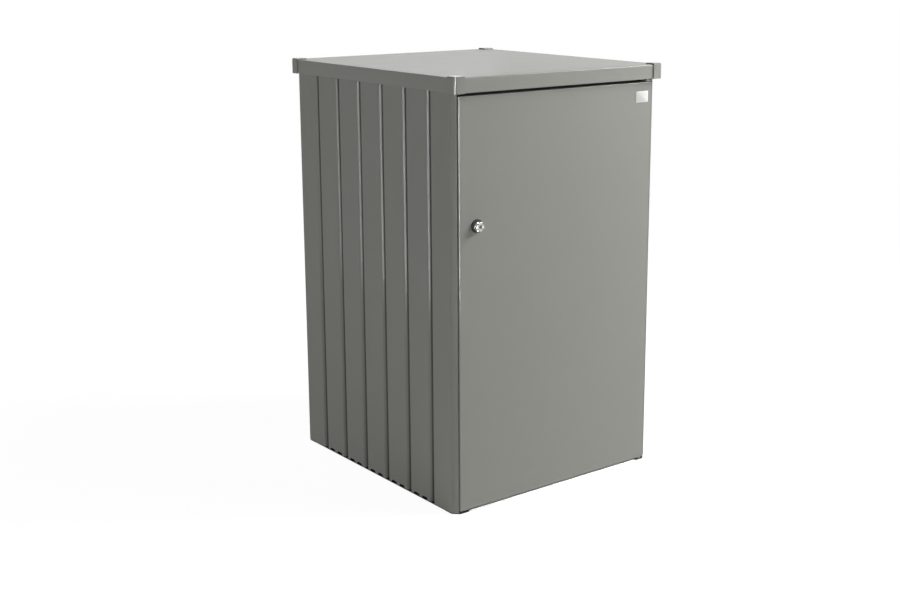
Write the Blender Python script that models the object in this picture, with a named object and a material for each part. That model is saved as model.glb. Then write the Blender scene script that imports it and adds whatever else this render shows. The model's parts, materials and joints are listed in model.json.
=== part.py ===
# Bin storage shed: a folded sheet-steel box for one wheelie bin.
# A hinged lid opens upwards on two gas struts, and a front door swings on upright pins.
# Metres, +Z up. The front with the door faces -Y, and the left side wall faces -X.

import math

import bmesh
import bpy
from mathutils import Matrix, Vector

# Overall size, over the lid's corner caps
lid_width = 0.800
lid_depth = 0.880
shed_height = 1.290

# Body under the lid
lid_side_overhang = 0.006
lid_end_overhang = 0.017
corner_chamfer = 0.019
seat_gap = 0.0003
cut_overrun = 0.004
merge_distance = 0.000001

# Sheet metal
wall_sheet = 0.0010
frame_sheet = 0.0015
bend_radius = 0.0028
bend_steps = 2

# Ribbed walls
groove_count = 6
groove_from_front = 0.1165
groove_from_rear = 0.1270
rear_groove_count = 5
rear_groove_from_side = 0.144
groove_mouth = 0.0220
groove_floor = 0.0080
groove_depth = 0.0110
groove_lip_radius = 0.0055
groove_steps = 3
hat_bend_radius = 0.0016
wall_bottom = 0.0045
wall_below_lid = 0.0235
wall_lap = 0.004

# Vent notches along the bottom of the side walls
vent_length = 0.029
vent_height = 0.0075
vent_offset = 0.0215
vent_steps = 5

# Corner posts
jamb_fold_radius = 0.0016
post_leg = 0.032
stop_face_inset = 0.024
stop_flange = 0.026

# Ground frame
foot_thickness = 0.003
foot_past_post = 0.0015
foot_hole_radius = 0.0045
foot_steps = 16
rail_height = 0.025
rail_lip_height = 0.0040
rail_lip_inset = 0.0004
threshold_depth = 0.036
threshold_front_inset = 0.002
threshold_edge = 0.0012

# Top frame
top_rail_height = 0.030
top_rail_flange = 0.007
header_height = 0.057
header_flange = 0.025
header_end_gap = 0.004

# Door
door_hinge_gap = 0.0035
door_lock_gap = 0.0012
door_bottom = 0.007
door_below_rim = 0.0094
door_depth = 0.018
door_return = 0.014
door_corner_radius = 0.0012
door_bend_radius = 0.0034
stiffener_place = 0.130
stiffener_crown = 0.036
stiffener_flange = 0.012
stiffener_depth = 0.0125
stiffener_slope = 0.003

# Door pins
pin_from_edge = 0.011
pin_from_face = 0.0065
pin_radius = 0.0025
pin_length = 0.0165
pin_head_radius = 0.0042
pin_head = 0.0012
pin_steps = 20
bush_bore_gap = 0.0003
bush_wall = 0.0014
bush_flange_radius = 0.0052
bush_length = 0.007
bush_hole_gap = 0.0003
hinge_plate = 0.0025
hinge_plate_gap = 0.0025
hinge_plate_width = 0.026
hinge_plate_nose = 0.007
hinge_tab_height = 0.020
hinge_tab = 0.0018

# Lock
lock_from_edge = 0.0623
lock_height = 0.862
lock_hole_radius = 0.0110
rosette_radius = 0.0200
rosette_bore = 0.0110
rosette_height = 0.0050
rosette_edge = 0.0020
housing_radius = 0.0106
housing_bore = 0.0055
housing_rim = 0.0125
housing_rim_height = 0.0062
nut_across = 0.0240
nut_thickness = 0.0045
plate_width = 0.034
plate_height = 0.080
plate_thickness = 0.0020
knob_front = 0.0190
knob_neck_radius = 0.0095
knob_neck = 0.0030
knob_radius = 0.0142
knob_edge = 0.0024
knob_bore = 0.0075
knob_scallop_radius = 0.0080
knob_scallop_bite = 0.0040
knob_lobes = 4
plug_radius = 0.0072
plug_inset = 0.0008
plug_back = 0.0100
spindle_radius = 0.0050
keyway_length = 0.0092
keyway_width = 0.0024
keyway_depth = 0.0050
cam_length = 0.052
cam_width = 0.018
cam_thickness = 0.0025
cam_gap = 0.0015
cam_clearance = 0.0022
cam_hole_gap = 0.0003
cam_screw_radius = 0.0070
cam_screw_head = 0.0035
lock_steps = 32
strike_width = 0.022
strike_height = 0.070
strike_thickness = 0.0020

# Rubber strips that the closed door and lid rest on, the lid's one also closing the slot over the door
strip_half_width = 0.005
strip_edge = 0.001
strip_from_ends = 0.060
lid_strip_half_length = 0.345
lid_strip_lip = 0.0030
lid_strip_overlap = 0.0120

# Lid
cap_proud = 0.0025
cap_rise = 0.0035
cap_drop = 0.001
cap_side_leg = 0.0365
cap_end_leg = 0.0365
cap_corner_radius = 0.0090
cap_edge = 0.0022
lid_sheet = 0.0010
lid_rim_height = 0.0435
lid_bend_radius = 0.0040
lid_hem = 0.008
hem_edge = 0.0004
corner_steps = 4
lid_rail_crown = 0.017
lid_rail_flange = 0.0065
lid_rail_depth = 0.015
lid_rail_slope = 0.0015
lid_rail_edge_gap = 0.001
lid_rail_front_setback = 0.038
lid_rail_rear_setback = 0.032

# Lid hinges
lid_pin_radius = 0.0030
lid_pin_overhang = 0.0015
knuckle_gap = 0.0002
leaf_sheet = 0.0015
leaf_width = 0.060
leaf_height = 0.045
leaf_end_gap = 0.0008
lid_axis_above_rim = 0.004
knuckle_steps = 18
wall_curl_opening = 54
lid_curl_opening = 12
middle_knuckle_share = 0.36
leaf_notch_drop = 0.0018
lid_leaf_height = 0.026

# Gas struts
strut_plane_inset = 0.039
lower_pivot_setback = 0.0565
lower_pivot_drop = 0.1458
upper_pivot_setback = 0.1185
upper_pivot_rise = 0.0125
seat_lift = 0.002833
seat_side = 0.001348
stud_radius = 0.0030
stud_gap = 0.0003
stud_shoulder_radius = 0.0070
stud_shoulder = 0.0085
stud_head_radius = 0.0082
stud_head = 0.0020
eye_half_width = 0.0050
eye_side_gap = 0.0025
lower_eye_radius = 0.0075
upper_eye_bore = 0.0065
upper_eye_radius = 0.0100
cylinder_radius = 0.0090
cylinder_start = 0.0105
cylinder_length = 0.1080
cylinder_edge = 0.0020
cylinder_floor = 0.0050
rod_radius = 0.0040
rod_gap = 0.0003
rod_end_gap = 0.0080
fitting_radius = 0.0065
fitting_length = 0.0100
strut_steps = 20
bracket_sheet = 0.0015
bracket_height = 0.040
bracket_reach = 0.012
bracket_base = 0.017
bracket_drop = 0.0100
upper_bracket_depth = 0.030

# Sizes that follow from those above
half_width = lid_width / 2 - lid_side_overhang
half_depth = lid_depth / 2 - lid_end_overhang
front_face = -half_depth
chamfer_sum = half_width + half_depth - corner_chamfer
root_two = math.sqrt(2)
frame_inset = wall_sheet + seat_gap
post_inset = frame_inset + frame_sheet / 2
jamb_face = half_width - corner_chamfer
stop_face = front_face + stop_face_inset
foot_top = foot_thickness
post_bottom = foot_top + seat_gap
groove_pitch = (2 * half_depth - groove_from_front - groove_from_rear) / (groove_count - 1)
first_groove = -half_depth + groove_from_front
rear_groove_pitch = 2 * (half_width - rear_groove_from_side) / (rear_groove_count - 1)
first_rear_groove = -half_width + rear_groove_from_side
post_fold_radius = groove_lip_radius - (post_inset - wall_sheet / 2)
groove_back_inset = groove_depth + frame_inset
door_right = jamb_face - door_hinge_gap
door_left = -(jamb_face - door_lock_gap)
door_back = front_face + door_depth
pin_x = door_right - pin_from_edge
pin_y = front_face + pin_from_face
lock_x = door_left + lock_from_edge
cam_depth = stop_face_inset + frame_sheet + seat_gap + strike_thickness + cam_clearance
housing_rear = cam_depth - cam_gap
knob_overreach = knob_front - lid_end_overhang
cap_inner_x = lid_width / 2 - cap_proud
cap_inner_y = lid_depth / 2 - cap_proud
lid_corner_radius = cap_corner_radius - cap_proud + seat_gap
lid_half_x = cap_inner_x - seat_gap
lid_half_y = cap_inner_y - seat_gap
lid_top = shed_height - cap_rise
lid_under = lid_top - lid_sheet
lid_bottom = lid_top - lid_rim_height
wall_top = lid_under - wall_below_lid
door_top = lid_bottom - door_below_rim
lid_axis_height = lid_bottom + lid_axis_above_rim
knuckle_mid_radius = lid_pin_radius + knuckle_gap + leaf_sheet / 2
lid_axis_y = half_depth + seat_gap + leaf_sheet / 2 + knuckle_mid_radius
lid_hinge_place = 3 * rear_groove_pitch / 2
strut_x = half_width - strut_plane_inset
stud_face = strut_x + eye_half_width + eye_side_gap + stud_shoulder
lower_pivot_y = lid_axis_y - lower_pivot_setback
lower_pivot_z = lid_axis_height - lower_pivot_drop
upper_pivot_y = lid_axis_y - upper_pivot_setback
upper_pivot_z = lid_axis_height + upper_pivot_rise
upper_reach = math.hypot(upper_pivot_y - lower_pivot_y, upper_pivot_z - lower_pivot_z)

SIDES = (("left", -1), ("right", 1))
SHARP_ANGLE = math.radians(32)


def clear_scene():
    for item in list(bpy.data.objects):
        bpy.data.objects.remove(item, do_unlink=True)


def make_material(name, colour, roughness, metallic):
    material = bpy.data.materials.new(name)
    material.use_nodes = True
    shader = material.node_tree.nodes["Principled BSDF"]
    shader.inputs["Base Color"].default_value = (*colour, 1)
    shader.inputs["Roughness"].default_value = roughness
    shader.inputs["Metallic"].default_value = metallic
    return material


# Names of finishes with their colour, roughness and metallic value
FINISHES = {
    "wall_paint": ((0.27, 0.27, 0.255), 0.42, 0.35),
    "frame_paint": ((0.20, 0.20, 0.19), 0.5, 0.3),
    "door_paint": ((0.28, 0.28, 0.265), 0.42, 0.35),
    "lid_paint": ((0.28, 0.28, 0.265), 0.42, 0.35),
    "hinge_steel": ((0.55, 0.55, 0.54), 0.35, 1.0),
    "bright_chrome": ((0.80, 0.80, 0.79), 0.12, 1.0),
    "dark_paint": ((0.05, 0.05, 0.05), 0.45, 0.3),
    "strut_black": ((0.02, 0.02, 0.02), 0.4, 0.2),
    "black_rubber": ((0.02, 0.02, 0.02), 0.8, 0.0),
    "grey_nylon": ((0.35, 0.35, 0.34), 0.5, 0.0),
}


def add_empty(name, place, parent):
    empty = bpy.data.objects.new(name, None)
    bpy.context.scene.collection.objects.link(empty)
    empty.parent = parent
    empty.location = Vector(place) - (place_in_shed(parent) if parent else Vector())
    return empty


def place_in_shed(item):
    """Where an item's origin lies, measured from the shed's own reference point."""
    place = Vector()
    while item is not None and item.parent is not None:
        place += item.location
        item = item.parent
    return place


def add_piece(name, shape, origin, parent, finish):
    """Turn a bmesh in shed coordinates into a named piece with its origin where it belongs."""
    bmesh.ops.recalc_face_normals(shape, faces=shape.faces)
    bmesh.ops.translate(shape, verts=shape.verts, vec=-Vector(origin))
    mesh = bpy.data.meshes.new(name)
    shape.to_mesh(mesh)
    shape.free()
    mesh.shade_smooth()
    mesh.set_sharp_from_angle(angle=SHARP_ANGLE)
    mesh.materials.append(materials[finish])
    piece = bpy.data.objects.new(name, mesh)
    bpy.context.scene.collection.objects.link(piece)
    piece.parent = parent
    piece.location = Vector(origin) - place_in_shed(parent)
    return piece


def add_tool(name, shape, target, operation):
    """Cut a shape out of a piece, or weld it on, and hide the shape itself."""
    tool = add_piece(name, shape, place_in_shed(target), target.parent, "hinge_steel")
    tool.hide_render = True
    tool.display_type = "WIRE"
    change = target.modifiers.new(name, "BOOLEAN")
    change.object = tool
    change.operation = operation
    change.solver = "EXACT"
    return tool


def fillet_path(corners, radii, steps):
    """An open path with rounded inner corners, by one radius or by one for each corner."""
    if not isinstance(radii, (list, tuple)):
        radii = [radii] * (len(corners) - 2)
    path = [Vector(corners[0])]
    for before, corner, after, radius in zip(corners, corners[1:], corners[2:], radii):
        corner = Vector(corner)
        back = (Vector(before) - corner).normalized()
        ahead = (Vector(after) - corner).normalized()
        half_angle = back.angle(ahead) / 2
        setback = radius / math.tan(half_angle)
        centre = corner + (back + ahead).normalized() * radius / math.sin(half_angle)
        first = corner + back * setback - centre
        last = corner + ahead * setback - centre
        sweep = math.pi - 2 * half_angle
        for step in range(steps + 1):
            turn = sweep * step / steps
            arm = (first * math.sin(sweep - turn) + last * math.sin(turn)) / math.sin(sweep)
            path.append(centre + arm)
    path.append(Vector(corners[-1]))
    return path


def strip_outline(path, thickness):
    """The closed outline of a folded strip of sheet along a path."""
    near_side = []
    far_side = []
    for index, point in enumerate(path):
        back = (point - path[index - 1]).normalized() if index > 0 else None
        ahead = (path[index + 1] - point).normalized() if index < len(path) - 1 else back
        back = back or ahead
        along = (back + ahead).normalized()
        across = Vector((-along.y, along.x))
        reach = thickness / 2 / max(along.dot(ahead), math.cos(math.radians(75)))
        near_side.append(point + across * reach)
        far_side.append(point - across * reach)
    return near_side + far_side[::-1]


def to_axis(along_axis, u, v, w):
    """Place outline point (u, v) at distance w along the named axis."""
    if along_axis == "X":
        return Vector((w, u, v))
    if along_axis == "Y":
        return Vector((u, w, v))
    return Vector((u, v, w))


def prism(outline, start, end, along_axis):
    """A flat outline drawn out between two planes."""
    shape = bmesh.new()
    corners = [shape.verts.new(to_axis(along_axis, u, v, start)) for u, v in outline]
    base = shape.faces.new(corners)
    drawn = bmesh.ops.extrude_face_region(shape, geom=[base])
    moved = [item for item in drawn["geom"] if isinstance(item, bmesh.types.BMVert)]
    shift = to_axis(along_axis, 0, 0, end - start)
    bmesh.ops.translate(shape, verts=moved, vec=shift)
    return shape


def rectangle(low_u, high_u, low_v, high_v):
    return [(low_u, low_v), (high_u, low_v), (high_u, high_v), (low_u, high_v)]


def block(low, high):
    """A plain box between two corners."""
    return prism(rectangle(low[0], high[0], low[1], high[1]), low[2], high[2], "Z")


def rounded_rectangle(half_u, half_v, radius, steps):
    """Corner points of a rectangle with rounded corners, anticlockwise from +u."""
    outline = []
    for quarter, (sign_u, sign_v) in enumerate(((1, 1), (-1, 1), (-1, -1), (1, -1))):
        for step in range(steps + 1):
            turn = math.pi / 2 * (quarter + step / steps)
            outline.append((sign_u * (half_u - radius) + radius * math.cos(turn),
                            sign_v * (half_v - radius) + radius * math.sin(turn)))
    return outline


def circle(radius, steps, centre=(0, 0)):
    return [(centre[0] + radius * math.cos(2 * math.pi * step / steps),
             centre[1] + radius * math.sin(2 * math.pi * step / steps))
            for step in range(steps)]


def arc(centre, radius, first, last, steps):
    """Points of an arc between two angles in degrees."""
    angles = [math.radians(first + (last - first) * step / steps) for step in range(steps + 1)]
    return [(centre[0] + radius * math.cos(angle), centre[1] + radius * math.sin(angle))
            for angle in angles]


def turned(profile, steps, centre, direction, closed):
    """A profile of (radius, height) points turned about a direction through a centre."""
    shape = bmesh.new()
    points = [shape.verts.new((radius, 0, height)) for radius, height in profile]
    pairs = list(zip(points, points[1:] + points[:1])) if closed else list(zip(points, points[1:]))
    edges = [shape.edges.new(pair) for pair in pairs]
    bmesh.ops.spin(shape, geom=points + edges, cent=(0, 0, 0), axis=(0, 0, 1),
                   angle=2 * math.pi, steps=steps, use_merge=True, use_duplicate=False)
    bmesh.ops.remove_doubles(shape, verts=shape.verts, dist=merge_distance)
    turn = Vector((0, 0, 1)).rotation_difference(Vector(direction)).to_matrix().to_4x4()
    bmesh.ops.transform(shape, matrix=Matrix.Translation(Vector(centre)) @ turn, verts=shape.verts)
    return shape


def ring_profile(bore, radius, low, high):
    return [(bore, low), (radius, low), (radius, high), (bore, high)]


def tray(half_u, half_v, corner_radius, profile, centre, face_axis):
    """A folded tray: a profile of (inset, depth) points swept round a rounded rectangle."""
    shape = bmesh.new()
    loops = []
    for inset, depth in profile:
        radius = max(corner_radius - inset, hem_edge)
        outline = rounded_rectangle(half_u - inset, half_v - inset, radius, corner_steps)
        loops.append([shape.verts.new(Vector(centre) + to_axis(face_axis, u, v, depth))
                      for u, v in outline])
    for upper, lower in zip(loops, loops[1:]):
        for index in range(len(upper)):
            beside = (index + 1) % len(upper)
            shape.faces.new((upper[index], upper[beside], lower[beside], lower[index]))
    shape.faces.new(loops[0])
    shape.faces.new(loops[-1])
    return shape


def merge_shapes(first, *others):
    """Gather separate solids into one group."""
    for other in others:
        mesh = bpy.data.meshes.new("group")
        other.to_mesh(mesh)
        other.free()
        first.from_mesh(mesh)
        bpy.data.meshes.remove(mesh)
    return first


def chamfer_partner(outward, inset):
    """The other coordinate of the chamfered corner, where a line set in by inset crosses it."""
    return chamfer_sum - inset * root_two - outward


def grooved_path(level_inset, first, pitch, count, outward):
    """Half-section path of a ribbed wall, as (along, outward) points with inward grooves."""
    lap_step = wall_lap / root_two
    level = outward - level_inset
    fold = chamfer_partner(level, level_inset)
    corners = [(-fold - lap_step, level - lap_step), (-fold, level)]
    for number in range(count):
        middle = first + number * pitch
        corners += [(middle - groove_mouth / 2, level),
                    (middle - groove_floor / 2, level - groove_depth),
                    (middle + groove_floor / 2, level - groove_depth),
                    (middle + groove_mouth / 2, level)]
    corners += [(fold, level), (fold + lap_step, level - lap_step)]
    return fillet_path(corners, groove_lip_radius, groove_steps)


def vent_cutters(side):
    """Notches in the foot of the strips between grooves, two to a strip."""
    cutters = []
    first_strip = first_groove + groove_pitch / 2
    for strip in range(groove_count - 1):
        for way in (-1, 1):
            middle = first_strip + strip * groove_pitch + way * vent_offset
            outline = [(middle + u, wall_bottom + v) for u, v in rounded_rectangle(
                vent_length / 2, vent_height, vent_height - seat_gap, vent_steps)]
            ends = sorted((side * (half_width + cut_overrun),
                           side * (half_width - wall_sheet - cut_overrun)))
            cutters.append(prism(outline, ends[0], ends[1], "X"))
    return merge_shapes(*cutters)


def build_walls():
    side_path = grooved_path(wall_sheet / 2, first_groove, groove_pitch, groove_count, half_width)
    for side_name, side in SIDES:
        outline = [(side * outward, along) for along, outward in strip_outline(side_path, wall_sheet)]
        shape = prism(outline, wall_bottom, wall_top, "Z")
        wall = add_piece("side_wall_" + side_name, shape,
                         (side * half_width, 0, wall_bottom), shed, "wall_paint")
        add_tool("vents_" + side_name, vent_cutters(side), wall, "DIFFERENCE")
    rear_path = grooved_path(wall_sheet / 2, first_rear_groove, rear_groove_pitch,
                             rear_groove_count, half_depth)
    shape = prism(strip_outline(rear_path, wall_sheet), wall_bottom, wall_top, "Z")
    add_piece("rear_wall", shape, (0, half_depth, wall_bottom), shed, "wall_paint")


def build_posts():
    leg_line = half_width - post_inset
    facet_partner = chamfer_partner(leg_line, post_inset)
    jamb_line = jamb_face + frame_sheet / 2
    stop_line = stop_face + frame_sheet / 2
    rear_line = half_depth - post_inset
    rear_partner = chamfer_partner(rear_line, post_inset)
    for side_name, side in SIDES:
        front = [(leg_line, -facet_partner + post_leg), (leg_line, -facet_partner),
                 (jamb_line, -chamfer_partner(jamb_line, post_inset)),
                 (jamb_line, stop_line), (jamb_line - stop_flange, stop_line)]
        radii = [post_fold_radius, jamb_fold_radius, bend_radius]
        outline = strip_outline(fillet_path(front, radii, groove_steps), frame_sheet)
        shape = prism([(side * x, y) for x, y in outline], post_bottom, wall_top, "Z")
        add_piece("post_front_" + side_name, shape,
                  (side * half_width, front_face, post_bottom), shed, "wall_paint")
        rear = [(leg_line, facet_partner - post_leg), (leg_line, facet_partner),
                (rear_partner, rear_line), (rear_partner - post_leg, rear_line)]
        outline = strip_outline(fillet_path(rear, post_fold_radius, groove_steps), frame_sheet)
        shape = prism([(side * x, y) for x, y in outline], post_bottom, wall_top, "Z")
        add_piece("post_rear_" + side_name, shape,
                  (side * half_width, half_depth, post_bottom), shed, "wall_paint")


def angle_section(outer, inner, low, high, flange_at_top):
    """An angle bar's outline in (across, height), its upright leg at the outer line."""
    way = 1 if inner > outer else -1
    leg = outer + way * frame_sheet / 2
    level = high - frame_sheet / 2 if flange_at_top else low + frame_sheet / 2
    free_end = low if flange_at_top else high
    path = fillet_path([(leg, free_end), (leg, level), (inner, level)], bend_radius, bend_steps)
    return strip_outline(path, frame_sheet)


def foot_reach(half_side):
    """Where a foot plate ends along a wall that far out: just past the corner post's leg."""
    return chamfer_partner(half_side - post_inset, post_inset) - post_leg - foot_past_post


def base_rail_section(wall_face, side):
    """A base rail's outline in (across, height): lip under the wall, foot and upright leg."""
    lip = wall_face - rail_lip_inset - frame_sheet / 2
    leg = wall_face - groove_back_inset - frame_sheet / 2
    level = frame_sheet / 2
    path = fillet_path([(lip, rail_lip_height), (lip, level), (leg, level), (leg, rail_height)],
                       hat_bend_radius, bend_steps)
    return [(side * across, height) for across, height in strip_outline(path, frame_sheet)]


def build_ground_frame():
    foot_outer_x = half_width - frame_inset
    foot_inner_x = foot_reach(half_depth)
    foot_outer_y = half_depth - frame_inset
    foot_inner_y = foot_reach(half_width)
    corner_cut = corner_chamfer
    hole_x = foot_inner_x + foot_hole_radius * 2
    hole_y = foot_inner_y + foot_hole_radius * 2
    for y_name, y_way in (("front", -1), ("rear", 1)):
        for side_name, x_way in SIDES:
            outline = [(foot_inner_x, foot_inner_y), (foot_outer_x, foot_inner_y),
                       (foot_outer_x, foot_outer_y - corner_cut),
                       (foot_outer_x - corner_cut, foot_outer_y), (foot_inner_x, foot_outer_y)]
            shape = prism([(x_way * x, y_way * y) for x, y in outline], 0, foot_top, "Z")
            place = (x_way * foot_outer_x, y_way * foot_outer_y, 0)
            plate = add_piece("foot_plate_" + y_name + "_" + side_name, shape, place, shed,
                              "dark_paint")
            hole = prism(circle(foot_hole_radius, foot_steps, (x_way * hole_x, y_way * hole_y)),
                         -cut_overrun, foot_top + cut_overrun, "Z")
            add_tool("foot_hole_" + y_name + "_" + side_name, hole, plate, "DIFFERENCE")

    rail_line = half_width - groove_back_inset
    rail_end = foot_inner_y - seat_gap
    for side_name, side in SIDES:
        shape = prism(base_rail_section(half_width, side), -rail_end, rail_end, "Y")
        add_piece("base_rail_" + side_name, shape, (side * rail_line, 0, 0), shed, "dark_paint")
    rear_line = half_depth - groove_back_inset
    cross_end = foot_inner_x - seat_gap
    add_piece("base_rail_rear", prism(base_rail_section(half_depth, 1), -cross_end, cross_end, "X"),
              (0, rear_line, 0), shed, "dark_paint")

    front = front_face + threshold_front_inset
    outline = [(front, 0), (front + threshold_depth, 0),
               (front + threshold_depth, foot_top - threshold_edge),
               (front + threshold_depth - threshold_edge, foot_top),
               (front + threshold_edge, foot_top), (front, foot_top - threshold_edge)]
    add_piece("door_threshold", prism(outline, -cross_end, cross_end, "X"),
              (0, front, 0), shed, "hinge_steel")


def build_top_frame():
    rail_line = half_width - groove_back_inset
    rail_end = foot_reach(half_width) - seat_gap
    low = wall_top - top_rail_height
    for side_name, side in SIDES:
        outline = angle_section(side * rail_line, side * (rail_line - top_rail_flange), low,
                                wall_top, True)
        add_piece("top_rail_" + side_name, prism(outline, -rail_end, rail_end, "Y"),
                  (side * rail_line, 0, wall_top), shed, "frame_paint")
    rear_line = half_depth - groove_back_inset
    rear_end = half_width - post_inset - corner_chamfer - post_leg
    outline = angle_section(rear_line, rear_line - top_rail_flange, low, wall_top, True)
    add_piece("top_rail_rear", prism(outline, -rear_end, rear_end, "X"),
              (0, rear_line, wall_top), shed, "frame_paint")
    header_line = stop_face + frame_sheet + seat_gap
    header_end = jamb_face - header_end_gap
    outline = angle_section(header_line, header_line + header_flange, wall_top - header_height,
                            wall_top, True)
    add_piece("door_header", prism(outline, -header_end, header_end, "X"),
              (0, header_line, wall_top), shed, "dark_paint")


def door_profile():
    """Section of the door tray as (inset, depth) from the front face round to the inside."""
    far = door_depth
    radius = door_bend_radius
    inner = radius - wall_sheet
    outer_bend = [(radius - radius * math.sin(turn), radius - radius * math.cos(turn))
                  for turn in (math.pi / 2 * step / corner_steps for step in range(corner_steps + 1))]
    inner_bend = [(radius - inner * math.cos(turn), radius - inner * math.sin(turn))
                  for turn in (math.pi / 2 * step / corner_steps for step in range(corner_steps + 1))]
    return outer_bend + [(0, far - wall_sheet), (wall_sheet, far), (door_return, far),
                         (door_return, far - wall_sheet), (wall_sheet, far - wall_sheet)] + inner_bend


def build_door():
    middle = (door_top + door_bottom) / 2
    half_height = (door_top - door_bottom) / 2
    half_door = (door_right - door_left) / 2
    shape = tray(half_door, half_height, door_corner_radius, door_profile(),
                 (door_right - half_door, front_face, middle), "Y")
    panel = add_piece("door_panel", shape, (pin_x, pin_y, door_bottom), door_axis, "door_paint")
    sleeve_hole = pin_radius + bush_bore_gap + bush_wall + bush_hole_gap
    holes = [prism(circle(sleeve_hole, pin_steps, (pin_x, pin_y)), level - cut_overrun,
                   level + cut_overrun, "Z") for level in (door_bottom, door_top)]
    holes.append(prism(circle(lock_hole_radius, lock_steps, (lock_x, lock_height)),
                       front_face - cut_overrun, front_face + wall_sheet + cut_overrun, "Y"))
    add_tool("door_holes", merge_shapes(*holes), panel, "DIFFERENCE")

    skin = front_face + wall_sheet + seat_gap
    low = door_bottom + door_bend_radius
    high = door_top - door_bend_radius
    crown = stiffener_crown / 2
    for side_name, side in SIDES:
        centre = side * stiffener_place
        outer = crown + stiffener_slope + stiffener_flange
        near = skin + wall_sheet / 2
        far = near + stiffener_depth
        hat = [(-outer, near), (-crown - stiffener_slope, near), (-crown, far), (crown, far),
               (crown + stiffener_slope, near), (outer, near)]
        path = fillet_path([(centre + x, y) for x, y in hat], hat_bend_radius, bend_steps)
        add_piece("door_stiffener_" + side_name,
                  prism(strip_outline(path, wall_sheet), low, high, "Z"),
                  (centre, skin, low), door_axis, "frame_paint")


def build_door_pins():
    sleeve_bore = pin_radius + bush_bore_gap
    sleeve_radius = sleeve_bore + bush_wall
    foot_seat = foot_top + seat_gap
    shape = turned([(0, 0), (pin_radius, 0), (pin_radius, pin_length - merge_distance),
                    (0, pin_length)], pin_steps, (pin_x, pin_y, foot_seat), (0, 0, 1), False)
    add_piece("door_pin_bottom", shape, (pin_x, pin_y, foot_seat), shed, "hinge_steel")

    flange_low = foot_seat
    flange_high = door_bottom - seat_gap
    profile = [(sleeve_bore, flange_low), (bush_flange_radius, flange_low),
               (bush_flange_radius, flange_high), (sleeve_radius, flange_high),
               (sleeve_radius, door_bottom + bush_length), (sleeve_bore, door_bottom + bush_length)]
    shape = turned(profile, pin_steps, (pin_x, pin_y, 0), (0, 0, 1), True)
    add_piece("door_bush_bottom", shape, (pin_x, pin_y, door_bottom), door_axis, "grey_nylon")

    plate_low = door_top + hinge_plate_gap
    plate_high = plate_low + hinge_plate
    profile = [(sleeve_bore, plate_low - seat_gap), (bush_flange_radius, plate_low - seat_gap),
               (bush_flange_radius, door_top + seat_gap), (sleeve_radius, door_top + seat_gap),
               (sleeve_radius, door_top - bush_length), (sleeve_bore, door_top - bush_length)]
    shape = turned(profile, pin_steps, (pin_x, pin_y, 0), (0, 0, 1), True)
    add_piece("door_bush_top", shape, (pin_x, pin_y, door_top), door_axis, "grey_nylon")

    head_low = plate_high + seat_gap
    head_high = head_low + pin_head
    tip = head_low - pin_length
    profile = [(0, tip), (pin_radius, tip), (pin_radius, head_low), (pin_head_radius, head_low),
               (pin_head_radius, head_high), (0, head_high)]
    shape = turned(profile, pin_steps, (pin_x, pin_y, 0), (0, 0, 1), False)
    add_piece("door_pin_top", shape, (pin_x, pin_y, head_high), shed, "hinge_steel")

    back = stop_face - seat_gap
    tab_line = back - hinge_tab / 2
    level = (plate_low + plate_high) / 2
    path = fillet_path([(pin_y - hinge_plate_nose, level), (tab_line, level),
                        (tab_line, plate_low + hinge_tab_height)], bend_radius, bend_steps)
    high_x = jamb_face - bend_radius
    shape = prism(strip_outline(path, hinge_tab), high_x - hinge_plate_width, high_x, "X")
    bracket = add_piece("door_hinge_bracket", shape, (pin_x, pin_y, plate_high), shed, "hinge_steel")
    hole = prism(circle(pin_radius + bush_bore_gap, pin_steps, (pin_x, pin_y)),
                 plate_low - cut_overrun, plate_high + cut_overrun, "Z")
    add_tool("hinge_bracket_hole", hole, bracket, "DIFFERENCE")


def lock_piece(name, profile, parent, finish, closed):
    """A piece turned about the lock's axis, its heights measured forwards from the door's face."""
    centre = (lock_x, front_face, lock_height)
    shape = turned(profile, lock_steps, centre, (0, -1, 0), closed)
    return add_piece(name, shape, centre, parent, finish)


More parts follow.
